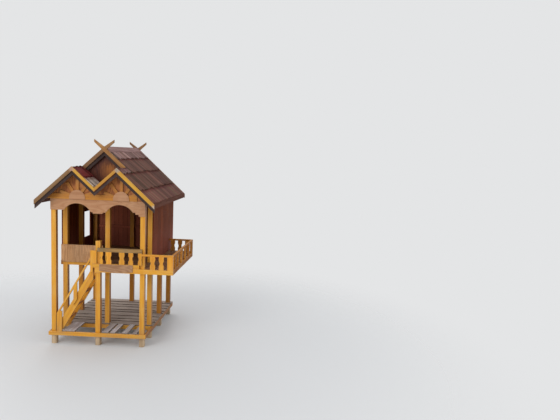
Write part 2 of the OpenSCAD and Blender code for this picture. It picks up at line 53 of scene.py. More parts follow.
camera_data = bpy.data.cameras.new("camera")
camera_data.sensor_width = sensor_width
camera_data.lens = sensor_width * focal_px / photo_width_px
camera = bpy.data.objects.new("camera", camera_data)
camera.matrix_world = (
    Matrix.Translation(eye)
    @ Matrix.Rotation(turned_left, 4, "Z")
    @ Matrix.Rotation(math.radians(90) - tipped_down, 4, "X")
    @ Matrix.Rotation(held_askew, 4, "Z")
)
bpy.context.scene.collection.objects.link(camera)
bpy.context.scene.camera = camera
bpy.context.scene.view_settings.view_transform = "Standard"


# Floor and light: a pale round floor that fades out into a pale surround, even light from all
# round, one broad soft lamp from the front left and two weak ones from the right and the back.
def srgb(red, green, blue):
    """Shader colour from a colour written 0 to 255."""
    linear = [
        c / 255 / 12.92 if c < 11 else ((c / 255 + 0.055) / 1.055) ** 2.4
        for c in (red, green, blue)
    ]
    return (*linear, 1.0)


def join(tree, socket, value):
    """Feeds a shader socket from another socket, or sets it."""
    if isinstance(value, bpy.types.NodeSocket):
        tree.links.new(value, socket)
    else:
        socket.default_value = value


def node(tree, kind, settings=None, **inputs):
    """New shader node with its settings, and its inputs given by socket name."""
    made = tree.nodes.new(kind)
    for key, value in (settings or {}).items():
        setattr(made, key, value)
    for key, value in inputs.items():
        join(tree, made.inputs[key.replace("_", " ")], value)
    return made


def figured(tree, operation, first, second=0.0):
    """Result of a Math node."""
    made = node(tree, "ShaderNodeMath", {"operation": operation})
    join(tree, made.inputs[0], first)
    join(tree, made.inputs[1], second)
    return made.outputs[0]


def ramp(tree, value, start, end, low=0.0, high=1.0):
    """Value moved from the range start..end to low..high, with soft ends."""
    made = node(
        tree, "ShaderNodeMapRange", {"interpolation_type": "SMOOTHSTEP"},
        From_Min=start, From_Max=end, To_Min=low, To_Max=high, Value=value,
    )
    return made.outputs[0]


floor_radius, fade_start, fade_end = 4.2, 1.7, 4.0
floor_mesh = bpy.data.meshes.new("floor")
shape = bmesh.new()
bmesh.ops.create_circle(shape, cap_ends=True, segments=96, radius=floor_radius)
shape.to_mesh(floor_mesh)
shape.free()
floor = bpy.data.objects.new("floor", floor_mesh)
bpy.context.scene.collection.objects.link(floor)
floor_paint = bpy.data.materials.new("floor_paint")
floor_paint.use_nodes = True
tree = floor_paint.node_tree
shader = tree.nodes["Principled BSDF"]
shader.inputs["Base Color"].default_value = srgb(216, 216, 215)
shader.inputs["Roughness"].default_value = 0.9
spot = node(tree, "ShaderNodeTexCoord").outputs["Object"]
far = node(tree, "ShaderNodeVectorMath", {"operation": "LENGTH"}, Vector=spot).outputs["Value"]
fading = node(tree, "ShaderNodeMixShader", Fac=ramp(tree, far, fade_start, fade_end))
join(tree, fading.inputs[1], shader.outputs[0])
join(tree, fading.inputs[2], node(tree, "ShaderNodeBsdfTransparent").outputs[0])
join(tree, tree.nodes["Material Output"].inputs["Surface"], fading.outputs[0])
floor_mesh.materials.append(floor_paint)

world = bpy.data.worlds.new("surround")
world.use_nodes = True
bpy.context.scene.world = world
tree = world.node_tree
tree.nodes.clear()
path = node(tree, "ShaderNodeLightPath")
seen = figured(tree, "MAXIMUM", path.outputs["Is Camera Ray"], path.outputs["Is Glossy Ray"])
seen = figured(tree, "MAXIMUM", seen, path.outputs["Is Transmission Ray"])
either = node(tree, "ShaderNodeMixShader", Fac=seen)
daylight = node(tree, "ShaderNodeBackground", Color=srgb(244, 247, 252), Strength=0.84)
backdrop = node(tree, "ShaderNodeBackground", Color=srgb(228, 229, 230), Strength=1.0)
join(tree, either.inputs[1], daylight.outputs[0])
join(tree, either.inputs[2], backdrop.outputs[0])
node(tree, "ShaderNodeOutputWorld", Surface=either.outputs[0])

middle_of_house = Vector((0, 0.3, 0.9))


def soft_lamp(name, place, power, width):
    """Square lamp that faces the middle of the house."""
    lamp_data = bpy.data.lights.new(name, "AREA")
    lamp_data.energy = power
    lamp_data.size = width
    lamp = bpy.data.objects.new(name, lamp_data)
    lamp.location = place
    lamp.rotation_mode = "QUATERNION"
    lamp.rotation_quaternion = (middle_of_house - Vector(place)).to_track_quat("-Z", "Y")
    bpy.context.scene.collection.objects.link(lamp)


soft_lamp("key_lamp", (-2.4, -4.6, 3.6), 120, 3.0)
soft_lamp("side_lamp", (4.6, -1.0, 2.6), 20, 3.0)
soft_lamp("back_lamp", (-1.5, 5.2, 3.8), 60, 3.0)


# Posts: eleven square sawn softwood posts, brushed with a yellow ochre varnish above the base
# rails. Their feet are bare, and their sides that face left and right are painted darker as
# painted shade; the middle and rear posts take a darker copy of the varnish, also painted shade.
chance = random.Random(11)
weld, flat_angle, arris_angle, end_cosine = 2e-5, math.radians(0.6), math.radians(25), 0.9
twist_over_bend, grain_spread = 4, 4
# A square section has no wider side, so a bias far below any real width picks one.
square_section_bias = np.diag((1e-7, 0.0, 2e-7))


def merged(cad):
    """Copy of a CAD node's mesh, its loose triangles joined."""
    shape = bmesh.new()
    shape.from_mesh(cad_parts[cad].data)
    bmesh.ops.remove_doubles(shape, verts=shape.verts, dist=weld)
    return shape


def saw(shape, point, normal):
    """Cuts a mesh apart along a plane and leaves both sides open."""
    point, normal = Vector(point), Vector(normal)
    everything = shape.verts[:] + shape.edges[:] + shape.faces[:]
    bmesh.ops.bisect_plane(shape, geom=everything, dist=weld / 2, plane_co=point, plane_no=normal)
    shape.normal_update()
    beyond = {}
    for face in shape.faces:
        past = (face.calc_center_median() - point).dot(normal)
        beyond[face] = past > 0 if abs(past) > weld else face.normal.dot(normal) < 0
    kerf = [
        edge for edge in shape.edges
        if len(edge.link_faces) == 2 and beyond[edge.link_faces[0]] != beyond[edge.link_faces[1]]
    ]
    bmesh.ops.split_edges(shape, edges=kerf)


def loose_parts(shape):
    """Lists of vertices, one for each board of a mesh."""
    reached, parts = set(), []
    for first in shape.verts:
        if first in reached:
            continue
        reached.add(first)
        part, waiting = [], [first]
        while waiting:
            vert = waiting.pop()
            part.append(vert)
            for edge in vert.link_edges:
                other = edge.other_vert(vert)
                if other not in reached:
                    reached.add(other)
                    waiting.append(other)
        parts.append(part)
    return sorted(parts, key=lambda part: min(tuple(round(c, 4) for c in vert.co) for vert in part))


def place_in_grain():
    """Random shift, so that no two boards show the same piece of the grain."""
    return Vector([chance.uniform(-grain_spread, grain_spread) for _ in range(3)])


def mark_boards(shape, tones, paint, sway, upright):
    """Gives each board its grain direction, its tint, its end grain and a warp of up to sway."""
    board = shape.verts.layers.float_vector.new("board")
    tint = shape.verts.layers.float_color.new("tint")
    end = shape.faces.layers.float.new("end")
    for part in loose_parts(shape):
        points = np.array([vert.co for vert in part])
        middle = Vector(points.mean(0))
        axes = np.linalg.eigh(np.cov(points.T) + square_section_bias)[1]
        along, across, thick = (Vector(axes[:, i]) for i in (2, 1, 0))
        if upright:
            along, across = Vector((0, 0, 1)), Vector((0, 0, 1)).cross(thick)
        shift = place_in_grain()
        shade = chance.uniform(*tones)
        stain = [shade * c for c in (paint(middle) if paint else (1, 1, 1))] + [1]
        for vert in part:
            vert[board] = Vector((vert.co.dot(along), vert.co.dot(across), vert.co.dot(thick))) + shift
            vert[tint] = stain
        for face in {face for vert in part for face in vert.link_faces}:
            face[end] = float(abs(face.normal.dot(along)) > end_cosine)
        if sway:
            half = max((vert.co - middle).length for vert in part)
            bend, twist = [chance.uniform(-1, 1) * sway / half for _ in range(2)]
            warp = Matrix.Rotation(bend, 3, thick) @ Matrix.Rotation(twist * twist_over_bend, 3, along)
            bmesh.ops.rotate(shape, verts=part, cent=middle, matrix=warp)


def place(name, shape, slot, material, nodes=()):
    """Turns a bmesh into a piece of the house that stands for the CAD nodes."""
    mesh = bpy.data.meshes.new(name)
    shape.to_mesh(mesh)
    shape.free()
    mesh.materials.append(material)
    piece = bpy.data.objects.new(name, mesh)
    bpy.context.scene.collection.objects.link(piece)
    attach(piece, "root")
    if nodes:
        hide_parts(*nodes)
    return piece


def boards(
    name, cad, slot, material, saws=(), ease=0.0014, tones=(0.84, 1.06), paint=None, sway=0.0, upright=False
):
    """CAD node sawn into boards at the given planes, with the arrises rubbed off by ease."""
    shape = merged(cad)
    for point, normal in saws:
        saw(shape, point, normal)
    open_edges = [edge for edge in shape.edges if len(edge.link_faces) == 1]
    if open_edges:
        bmesh.ops.holes_fill(shape, edges=open_edges, sides=0)
    bmesh.ops.dissolve_limit(shape, angle_limit=flat_angle, verts=shape.verts, edges=shape.edges)
    bmesh.ops.recalc_face_normals(shape, faces=shape.faces)
    arris = shape.faces.layers.float.new("arris")
    corners = [
        edge for edge in shape.edges
        if len(edge.link_faces) == 2 and edge.calc_face_angle() > arris_angle
    ]
    rubbed = bmesh.ops.bevel(
        shape, geom=corners, offset=ease, segments=2, profile=0.5, affect="EDGES",
        clamp_overlap=True, material=-1,
    )
    for face in rubbed["faces"]:
        face[arris] = 1.0
    mark_boards(shape, tones, paint, sway, upright)
    return place(name, shape, slot, material, [cad])


def group(name, inputs, outputs):
    """Empty shader node group with named sockets."""
    tree = bpy.data.node_groups.new(name, "ShaderNodeTree")
    for label, kind in inputs:
        tree.interface.new_socket(name=label, in_out="INPUT", socket_type=kind)
    for label in outputs:
        tree.interface.new_socket(name=label, in_out="OUTPUT", socket_type="NodeSocketFloat")
    return tree, tree.nodes.new("NodeGroupInput"), tree.nodes.new("NodeGroupOutput")


def stretched_noise(tree, vector, scale, detail, twist=0.0):
    """Noise drawn out along the board: scale holds the spots per metre along, across and through."""
    stretch = node(tree, "ShaderNodeMapping", {"vector_type": "POINT"}, Vector=vector, Scale=scale)
    texture = node(
        tree, "ShaderNodeTexNoise",
        Vector=stretch.outputs[0], Scale=1.0, Detail=detail, Roughness=0.6, Distortion=twist,
    )
    return texture.outputs["Fac"]


def blended(tree, factor, first, second, how="MIX"):
    """Second colour laid over the first."""
    made = node(tree, "ShaderNodeMix", {"data_type": "RGBA", "blend_type": how})
    for index, value in ((0, factor), (6, first), (7, second)):
        join(tree, made.inputs[index], value)
    return made.outputs[2]


# timber_grain: long streaks, arched cathedral figure and fine fibres of a board, from its own
# coordinates, with the rings that show on its sawn ends.
grain_tree, grain_in, grain_out = group(
    "timber_grain", [("Board", "NodeSocketVector")],
    ["Streaks", "Cathedral", "Fibre", "Rings", "Height"],
)
on_board = grain_in.outputs["Board"]
streaks = ramp(grain_tree, stretched_noise(grain_tree, on_board, (2.4, 52, 52), 5, 0.6), 0.34, 0.68)
arching = stretched_noise(grain_tree, on_board, (1.5, 8.5, 8.5), 1.5)
arching = figured(grain_tree, "PINGPONG", figured(grain_tree, "MULTIPLY", arching, 13.0), 0.5)
cathedral = ramp(grain_tree, arching, 0.08, 0.46)
fibre = stretched_noise(grain_tree, on_board, (16, 420, 420), 3)
rings = stretched_noise(grain_tree, on_board, (0.5, 22, 22), 1)
rings = figured(grain_tree, "PINGPONG", figured(grain_tree, "MULTIPLY", rings, 30.0), 0.5)
for label, value in (
    ("Streaks", streaks), ("Cathedral", cathedral), ("Fibre", fibre), ("Rings", rings),
    ("Height", figured(grain_tree, "ADD", streaks, fibre)),
):
    join(grain_tree, grain_out.inputs[label], value)

# weather: broad worn patches, fine specks, and dirt splashed up from the ground
splash_height = 0.40
weather_tree, weather_in, weather_out = group(
    "weather", [("Position", "NodeSocketVector")], ["Patch", "Speck", "Splash"]
)
on_house = weather_in.outputs["Position"]
patch = stretched_noise(weather_tree, on_house, (8, 8, 5), 5)
speck = stretched_noise(weather_tree, on_house, (110, 110, 80), 4)
above_ground = node(weather_tree, "ShaderNodeSeparateXYZ", Vector=on_house).outputs["Z"]
near_ground = ramp(weather_tree, above_ground, splash_height, 0.0)
splash = figured(weather_tree, "MULTIPLY", near_ground, ramp(weather_tree, patch, 0.3, 0.7))
for label, value in (("Patch", patch), ("Speck", speck), ("Splash", splash)):
    join(weather_tree, weather_out.inputs[label], value)

soil = srgb(122, 100, 78)
varnish_start, foot_end = 0.097, 0.089
grain_depth = 0.0008


def timber(
    name, face, deep, worn, painted_flank_shade=None, sides=None, painted_inner_light=None, wear=0.3, rough=0.5, gloss=0.25,
    coat=0.0, relief=0.35, figure="Streaks", arris=None, foot=None, spots=(), spot_strength=0.9,
    skirt=None, skirt_colour=None,
):
    """Board finish: its face, its deeper figure and where it has worn. The flank colour is painted
    shade on the faces that look left and right, the sides colour is painted shade on all but the
    top of a lying board, and the inner colour is painted light on the faces that look to the front.
    A skirt is a band between two heights, and a spot has a centre, a reach and a colour."""
    material = bpy.data.materials.new(name)
    material.use_nodes = True
    tree = material.node_tree
    shader = tree.nodes["Principled BSDF"]

    def read(attribute, output):
        return node(tree, "ShaderNodeAttribute", {"attribute_name": attribute}).outputs[output]

    spot = node(tree, "ShaderNodeTexCoord").outputs["Object"]
    up = node(tree, "ShaderNodeSeparateXYZ", Vector=spot).outputs["Z"]
    grain = node(tree, "ShaderNodeGroup", {"node_tree": grain_tree}, Board=read("board", "Vector"))
    weather = node(tree, "ShaderNodeGroup", {"node_tree": weather_tree}, Position=spot)
    patch, speck, fibre = weather.outputs["Patch"], weather.outputs["Speck"], grain.outputs["Fibre"]
    colour = blended(tree, figured(tree, "MULTIPLY", grain.outputs[figure], 0.75), face, deep)
    colour = blended(tree, ramp(tree, fibre, 0.52, 0.72, 0.0, 0.35), colour, deep)
    normal = node(tree, "ShaderNodeNewGeometry").outputs["Normal"]
    facing = node(tree, "ShaderNodeSeparateXYZ", Vector=normal)
    # Painted shade: faces that look left or right are darkened towards the flank colour.
    if painted_flank_shade:
        turned = ramp(tree, figured(tree, "ABSOLUTE", facing.outputs["X"]), 0.45, 0.8, 0.0, 0.8)
        colour = blended(tree, turned, colour, painted_flank_shade)
    # Painted light: faces that look to the front are lightened towards the inner colour.
    if painted_inner_light:
        colour = blended(tree, ramp(tree, facing.outputs["Y"], -0.3, -0.8, 0.0, 0.7), colour, painted_inner_light)
    # Painted shade: all faces but the tops of lying boards are darkened towards the sides colour.
    if sides:
        colour = blended(tree, ramp(tree, facing.outputs["Z"], 0.8, 0.3, 0.0, 0.85), colour, sides)
    rubbed = figured(tree, "MULTIPLY", ramp(tree, patch, 0.46, 0.68), ramp(tree, fibre, 0.36, 0.6))
    colour = blended(tree, figured(tree, "MULTIPLY", rubbed, wear), colour, worn)
    edge = figured(tree, "MULTIPLY", read("arris", "Fac"), ramp(tree, speck, 0.35, 0.6, 0.1, 0.7))
    colour = blended(tree, edge, colour, arris or worn)
    # Below the skirt band the colour turns towards the skirt colour. On the walls this leaves the boards
    # above the band darker under the eaves, as painted shade.
    if skirt:
        ragged = figured(tree, "ADD", up, ramp(tree, patch, 0.3, 0.7, 0.0, 0.03))
        colour = blended(tree, ramp(tree, ragged, skirt[1], skirt[0], 0.0, 0.7), colour, skirt_colour)
    if foot:
        ragged = figured(tree, "ADD", up, figured(tree, "MULTIPLY", speck, 0.016))
        bare = blended(tree, grain.outputs["Streaks"], *foot)
        colour = blended(tree, ramp(tree, ragged, varnish_start, foot_end), colour, bare)
    rings = blended(tree, grain.outputs["Rings"], [c * 0.75 for c in deep], [c * 0.9 for c in face])
    colour = blended(tree, figured(tree, "MULTIPLY", read("end", "Fac"), 0.7), colour, rings)
    colour = blended(tree, figured(tree, "MULTIPLY", weather.outputs["Splash"], 0.4), colour, soil)
    colour = blended(tree, 1.0, colour, read("tint", "Color"), "MULTIPLY")
    for centre, reach, shade in spots:
        away = node(tree, "ShaderNodeVectorMath", {"operation": "DISTANCE"})
        join(tree, away.inputs[0], spot)
        join(tree, away.inputs[1], centre)
        frayed = ramp(tree, fibre, 0.3, 0.7, 0.0, reach * 0.7)
        ragged = figured(tree, "ADD", away.outputs["Value"], frayed)
        covered = ramp(tree, ragged, reach * 1.3, reach * 0.7)
        colour = blended(tree, figured(tree, "MULTIPLY", covered, spot_strength), colour, shade)
    join(tree, shader.inputs["Base Color"], colour)
    join(tree, shader.inputs["Roughness"], ramp(tree, fibre, 0.2, 0.8, rough - 0.1, rough + 0.14))
    bump = node(
        tree, "ShaderNodeBump", Strength=relief, Distance=grain_depth, Height=grain.outputs["Height"]
    )
    join(tree, shader.inputs["Normal"], bump.outputs[0])
    shader.inputs["Specular IOR Level"].default_value = gloss
    shader.inputs["Coat Weight"].default_value = coat
    shader.inputs["Coat Roughness"].default_value = 0.35
    return material


bare_foot = (srgb(216, 188, 150), srgb(172, 144, 110))
# The flank colours in these finishes are painted shade on the faces that look left and right.
ochre_varnish = timber(
    "ochre_varnish", srgb(228, 164, 42), srgb(206, 130, 24), srgb(222, 182, 112),
    painted_flank_shade=srgb(146, 84, 34), wear=0.35, rough=0.48, gloss=0.4, foot=bare_foot, coat=0.06,
)
# Painted shade: a darker copy of the ochre varnish, with a darker flank colour, for the middle and rear
# posts, the back and side base rails, the joists, side beams, treads and plates.
painted_shade_varnish = timber(
    "painted_shade_varnish", srgb(196, 132, 36), srgb(166, 98, 24), srgb(194, 152, 100),
    painted_flank_shade=srgb(132, 76, 34), wear=0.3, rough=0.52, foot=bare_foot, coat=0.05,
)
post_ease = 0.002
boards(
    "porch_post_set", "porch_posts", "painted_timber", ochre_varnish, ease=post_ease, tones=(0.92, 1.02)
)
boards("room_front_post_set", "room_front_posts", "painted_timber", ochre_varnish, ease=post_ease)
boards("middle_post_set", "middle_posts", "inner_timber", painted_shade_varnish, ease=post_ease)
boards("rear_post_set", "rear_posts", "inner_timber", painted_shade_varnish, ease=post_ease)


# Base frame: thin rails nailed round the outside of the posts just above their feet, and a
# cross beam under the front of the room, in the same ochre varnish, dirty from the ground. The
# back and side rails take its darker copy, which is painted shade.
boards("front_base_rail", "base_front_rail", "painted_timber", ochre_varnish, tones=(1.02, 1.06))
for piece_name, cad, slot, finish in (
    ("front_cross_beam", "base_cross_beam", "painted_timber", ochre_varnish),
    ("back_base_rail", "base_back_rail", "inner_timber", painted_shade_varnish),
    ("side_base_rails", "base_side_rails", "inner_timber", painted_shade_varnish),
):
    boards(piece_name, cad, slot, finish)


# Lower deck: bare offcuts nailed across the rails with open gaps, weathered grey, and the few
# boards that are left of the platform in front of them. Two nails hold each end.
nail_radius, nail_crown, nail_height = 0.0023, 0.0014, 0.0014
nail_steel = bpy.data.materials.new("nail_steel")
nail_steel.use_nodes = True
tree = nail_steel.node_tree
spot = node(tree, "ShaderNodeTexCoord").outputs["Object"]
weather = node(tree, "ShaderNodeGroup", {"node_tree": weather_tree}, Position=spot)
speck = weather.outputs["Speck"]
rust = blended(tree, ramp(tree, speck, 0.4, 0.6), srgb(92, 84, 78), srgb(112, 66, 40))
shader = tree.nodes["Principled BSDF"]
join(tree, shader.inputs["Base Color"], rust)
join(tree, shader.inputs["Roughness"], ramp(tree, speck, 0.4, 0.6, 0.4, 0.7))
shader.inputs["Metallic"].default_value = 0.6


def nails(name, slot, heads, facing=(0, -1, 0)):
    """Round nail heads, set at the given points on a face that looks to the front or up."""
    shape = bmesh.new()
    turn = Vector(facing).to_track_quat("Z", "Y").to_matrix().to_4x4()
    for head in heads:
        bmesh.ops.create_cone(
            shape, cap_ends=True, segments=8, radius1=nail_radius, radius2=nail_crown,
            depth=nail_height, matrix=Matrix.Translation(head) @ turn,
        )
    place(name, shape, slot, nail_steel)


# Painted shade: the sides colours below darken the edges and undersides of the slats and platform boards,
# so the gaps between them read dark.
slat_grey = timber(
    "slat_grey", srgb(184, 168, 156), srgb(132, 116, 104), srgb(206, 196, 186),
    sides=srgb(74, 60, 50), wear=0.6, rough=0.8, relief=0.8,
)
platform_grey = timber(
    "platform_grey", srgb(206, 198, 198), srgb(146, 134, 128), srgb(208, 200, 192),
    sides=srgb(86, 70, 58), wear=0.6, rough=0.8, relief=0.8,
)
worn_ease = 0.0022
boards(
    "slatted_deck", "deck_slats", "weathered_board", slat_grey,
    ease=worn_ease, tones=(0.78, 1.08), sway=0.0015,
)
boards(
    "front_platform", "platform_boards", "weathered_board", platform_grey,
    ease=worn_ease, tones=(0.85, 1.1), sway=0.001,
)
nail_inset, nail_stray = 0.010, 0.003
for piece_name, cad, axis in (("slat_nails", "deck_slats", 0), ("platform_nails", "platform_boards", 1)):
    shape = merged(cad)
    heads = []
    for part in loose_parts(shape):
        low = Vector([min(vert.co[i] for vert in part) for i in range(3)])
        high = Vector([max(vert.co[i] for vert in part) for i in range(3)])
        for end in (low[axis] + nail_inset, high[axis] - nail_inset):
            for share in (0.25, 0.75):
                head = low.lerp(high, share)
                head[axis], head.z = end + chance.uniform(-nail_stray, nail_stray), high.z
                heads.append(head)
    shape.free()
    nails(piece_name, "weathered_board", heads, (0, 0, 1))


# Upper floor: beams nailed to the posts, the balcony's frame, whose varnish is painted darker
# and browner as painted shade, and thin boards laid over them from side to side, notched round
# the posts. The joists and side beams take the other darker copy of the varnish, painted shade.
# Painted shade: a darker, browner copy of the varnish with a darker flank colour, for the balcony's frame
# and its side and rear balustrades.
balcony_painted_shade_varnish = timber(
    "balcony_painted_shade_varnish", srgb(200, 136, 52), srgb(166, 98, 34), srgb(206, 164, 104),
    painted_flank_shade=srgb(118, 66, 22), wear=0.3, rough=0.6, gloss=0.12,
)
for piece_name, cad, slot, finish in (
    ("balcony_beam", "balcony_front_beam", "painted_timber", ochre_varnish),
    ("room_beam", "room_front_beam", "painted_timber", ochre_varnish),
    ("joists", "floor_joists", "inner_timber", painted_shade_varnish),
    ("side_beams", "floor_side_beams", "inner_timber", painted_shade_varnish),
    ("balcony_beams", "balcony_frame", "painted_timber", balcony_painted_shade_varnish),
):
    boards(piece_name, cad, slot, finish)


def saw_lines(start, end, width, axis, stray=0.12):
    """Planes square to an axis, about a board's width apart, each off by up to a stray share of it."""
    count = max(1, round((end - start) / width))
    normal = Vector([float(i == axis) for i in range(3)])
    return [
        (normal * (start + (end - start) * (i + chance.uniform(-stray, stray)) / count), normal)
        for i in range(1, count)
    ]


floor_board_width = 0.083
floor_brown = timber(
    "floor_brown", srgb(136, 94, 60), srgb(94, 60, 38), srgb(158, 130, 102), wear=0.5, rough=0.7,
    relief=0.6, arris=srgb(58, 38, 26),
)
for cad in ("porch_floor", "room_floor", "balcony_floor"):
    low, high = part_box(cad)
    seams = saw_lines(low.y, high.y, floor_board_width, 1)
    boards(
        cad + "_boards", cad, "weathered_board", floor_brown, seams, ease=0.0012, tones=(0.8, 1.1)
    )


# Porch front: a kerb beam with a bare plywood valance nailed over it, flat balusters with a
# rounded notch in each side, and a weathered rail on top. The balcony's balusters match.
grey_ply = timber(
    "grey_ply", srgb(168, 128, 94), srgb(140, 100, 70), srgb(184, 152, 122), wear=0.6, rough=0.75,
    relief=0.25, figure="Cathedral",
)
rail_face, rail_middle = -0.03, 0.90
grey_rail = timber(
    "grey_rail", srgb(178, 138, 82), srgb(126, 94, 56), srgb(182, 160, 126), wear=0.8, rough=0.75,
    relief=0.7, spot_strength=0.6, spots=[
        ((0.04, rail_face, rail_middle), 0.05, srgb(122, 104, 72)),
        ((0.26, rail_face, rail_middle), 0.035, srgb(140, 112, 78)),
    ],
)
# The flank colour here is painted shade on the faces that look left and right.
baluster_varnish = timber(
    "baluster_varnish", srgb(228, 160, 46), srgb(204, 124, 28), srgb(226, 186, 116),
    painted_flank_shade=srgb(160, 96, 36), wear=0.3, rough=0.45, coat=0.1,
)
boards("kerb", "porch_kerb", "painted_timber", ochre_varnish, tones=(0.86, 0.92))
boards("valance", "porch_valance", "bare_plywood", grey_ply, ease=0.0009)
low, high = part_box("porch_valance")
nail_spaces, end_gap, top_gap, zigzag = 6, 0.012, 0.014, 0.03
nail_spacing = (high.x - low.x - 2 * end_gap) / nail_spaces
nails("valance_nails", "bare_plywood", [
    Vector((low.x + end_gap + nail_spacing * i, low.y, high.z - top_gap - zigzag * (i % 2)))
    for i in range(nail_spaces + 1)
])

for cad, rail_depth, finish in (
    ("porch_balustrade", 0.034, baluster_varnish),
    ("balcony_front_balustrade", 0.017, baluster_varnish),
    ("balcony_side_balustrade", 0.017, balcony_painted_shade_varnish),
    ("balcony_rear_balustrade", 0.017, balcony_painted_shade_varnish),
):
    rail_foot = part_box(cad)[1].z - rail_depth
    under_rail = ((0, 0, rail_foot), (0, 0, 1))
    piece = boards(cad + "_boards", cad, "painted_timber", finish, [under_rail])
    if cad == "porch_balustrade":
        piece.data.materials.append(grey_rail)
        for polygon in piece.data.polygons:
            polygon.material_index = int(polygon.center.z > rail_foot)


# Stair: two stringers with plain treads between them, and in front of them a thin handrail on a
# lower board, a middle board and a taller board at the head.
boards("stringers", "stair_stringers", "painted_timber", ochre_varnish)
boards("treads", "stair_treads", "inner_timber", painted_shade_varnish)
lower_board_face, head_board_face = -0.325, -0.065
rail_joints = [((x, 0, 0), (1, 0, 0)) for x in (lower_board_face, head_board_face)]
boards(
    "handrail_and_boards", "stair_rail", "painted_timber", ochre_varnish, rail_joints, tones=(0.9, 1.04)
)


# Room: walls of narrow upright boards stained red-brown and painted darker towards the eaves as
# painted shade, the rear one's inside face painted lighter as painted light, with a window cut
# through the left one, a batten inside the rear one, and a low front panel of grooved plywood,
# darker along its foot.
wall_board_width, groove_spacing = 0.047, 0.0095
# Painted shade: the stain is darkest from 1.14 m up, under the eaves, and turns towards the lighter skirt
# colour down to 0.78 m.
wall_stain_and_eave_shade = dict(
    face=srgb(115, 51, 12), deep=srgb(74, 30, 8), worn=srgb(132, 70, 37), arris=srgb(50, 26, 18),
    wear=0.4, rough=0.7, gloss=0.1, relief=0.5, skirt=(0.78, 1.14), skirt_colour=srgb(136, 74, 60),
)
stained_board_eave_shade = timber("stained_board_eave_shade", **wall_stain_and_eave_shade)
# Painted light: the rear wall's inside face, which looks to the front, is painted lighter towards the inner
# colour.
rear_stain_eave_shade_inner_light = timber("rear_stain_eave_shade_inner_light", painted_inner_light=srgb(214, 122, 92), **wall_stain_and_eave_shade)
for cad, axis, finish in (
    ("right_wall", 1, stained_board_eave_shade), ("left_wall", 1, stained_board_eave_shade), ("rear_wall", 0, rear_stain_eave_shade_inner_light)
):
    low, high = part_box(cad)
    seams = saw_lines(low[axis], high[axis], wall_board_width, axis)
    boards(cad + "_boards", cad, "stained_wall", finish, seams, ease=0.0016, tones=(0.78, 1.1))
boards("rear_batten", "rear_wall_batten", "stained_wall", rear_stain_eave_shade_inner_light)

# The panel is painted darker below 0.745 m, along its foot.
grooved_ply = timber(
    "grooved_ply", srgb(202, 154, 108), srgb(174, 126, 84), srgb(210, 174, 136), wear=0.5,
    rough=0.7, relief=0.25, figure="Cathedral", arris=srgb(116, 86, 60), skirt=(0.715, 0.745),
    skirt_colour=srgb(112, 84, 56),
)
low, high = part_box("parapet_panel")
grooves = saw_lines(low.x, high.x, groove_spacing, 0, 0.05)
boards(
    "grooved_panel", "parapet_panel", "bare_plywood", grooved_ply, grooves,
    ease=0.0010, tones=(0.94, 1.04),
)
stud_lines = (low.x + 0.03, low.x + 0.2, high.x - 0.02)
nails("panel_nails", "bare_plywood", [
    Vector((x, low.y, z)) for x in stud_lines for z in (low.z + top_gap, high.z - top_gap)
])


# Gables and arches: a plywood arch board nailed to the porch posts, a yellow strip along its
# top, stained gable panels, and in each gable a plywood half disc with rays of thin board.
boards("plates", "wall_plates", "inner_timber", painted_shade_varnish)
arch_ply = timber(
    "arch_ply", srgb(196, 145, 105), srgb(182, 128, 89), srgb(208, 167, 130), wear=0.5, rough=0.68,
    relief=0.2, figure="Cathedral",
)
boards("arches", "arch_board", "bare_plywood", arch_ply, ease=0.001)
low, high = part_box("arch_board")
pair_lines, pair_half = (-0.405, -0.2, 0, 0.2, 0.405), 0.012
post_lines, post_nail_drop = (-0.41, 0.0, 0.41), 0.06
nails("arch_nails", "bare_plywood", [
    Vector((x + side, low.y, high.z - top_gap)) for x in pair_lines for side in (-pair_half, pair_half)
] + [Vector((x, low.y, high.z - post_nail_drop)) for x in post_lines])

tie_varnish = timber(
    "tie_varnish", srgb(192, 126, 44), srgb(160, 96, 34), srgb(200, 152, 88), wear=0.3, rough=0.5,
    coat=0.05,
)
boards("tie_strip", "gable_tie_strip", "painted_timber", tie_varnish)
low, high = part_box("gable_tie_strip")
rays_front, strip_nail_height = low.y, low.z + 0.024
strip_nail_lines = (-0.41, -0.25, -0.08, 0.08, 0.25, 0.345)
nails("strip_nails", "painted_timber", [
    Vector((x, rays_front, strip_nail_height)) for x in strip_nail_lines
])

gable_stain = timber(
    "gable_stain", srgb(176, 108, 54), srgb(130, 72, 38), srgb(190, 134, 80), wear=0.4, rough=0.55,
    relief=0.4, figure="Cathedral", spots=[((0.40, -0.03, 1.40), 0.05, srgb(190, 138, 100))],
)
boards(
    "gable_board", "front_gable_panel", "gable_infill", gable_stain, ease=0.0009, upright=True
)
low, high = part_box("main_gable_panel")
middle = (low + high) / 2
main_gable_stain = timber(
    "main_gable_stain", srgb(84, 40, 26), srgb(58, 26, 20), srgb(132, 82, 52), wear=0.4, rough=0.55,
    relief=0.4, figure="Cathedral", spot_strength=0.6, spots=[
        ((middle.x + 0.03, low.y, middle.z), 0.11, srgb(146, 88, 38)),
        ((middle.x + 0.05, low.y, middle.z + 0.01), 0.06, srgb(176, 108, 44)),
    ],
)
boards(
    "main_gable_board", "main_gable_panel", "gable_infill", main_gable_stain, ease=0.0009, upright=True
)
low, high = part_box("rear_gable_panel")
seams = saw_lines(low.x, high.x, wall_board_width, 0)
boards("rear_gable_boards", "rear_gable_panel", "stained_wall", stained_board_eave_shade, seams)

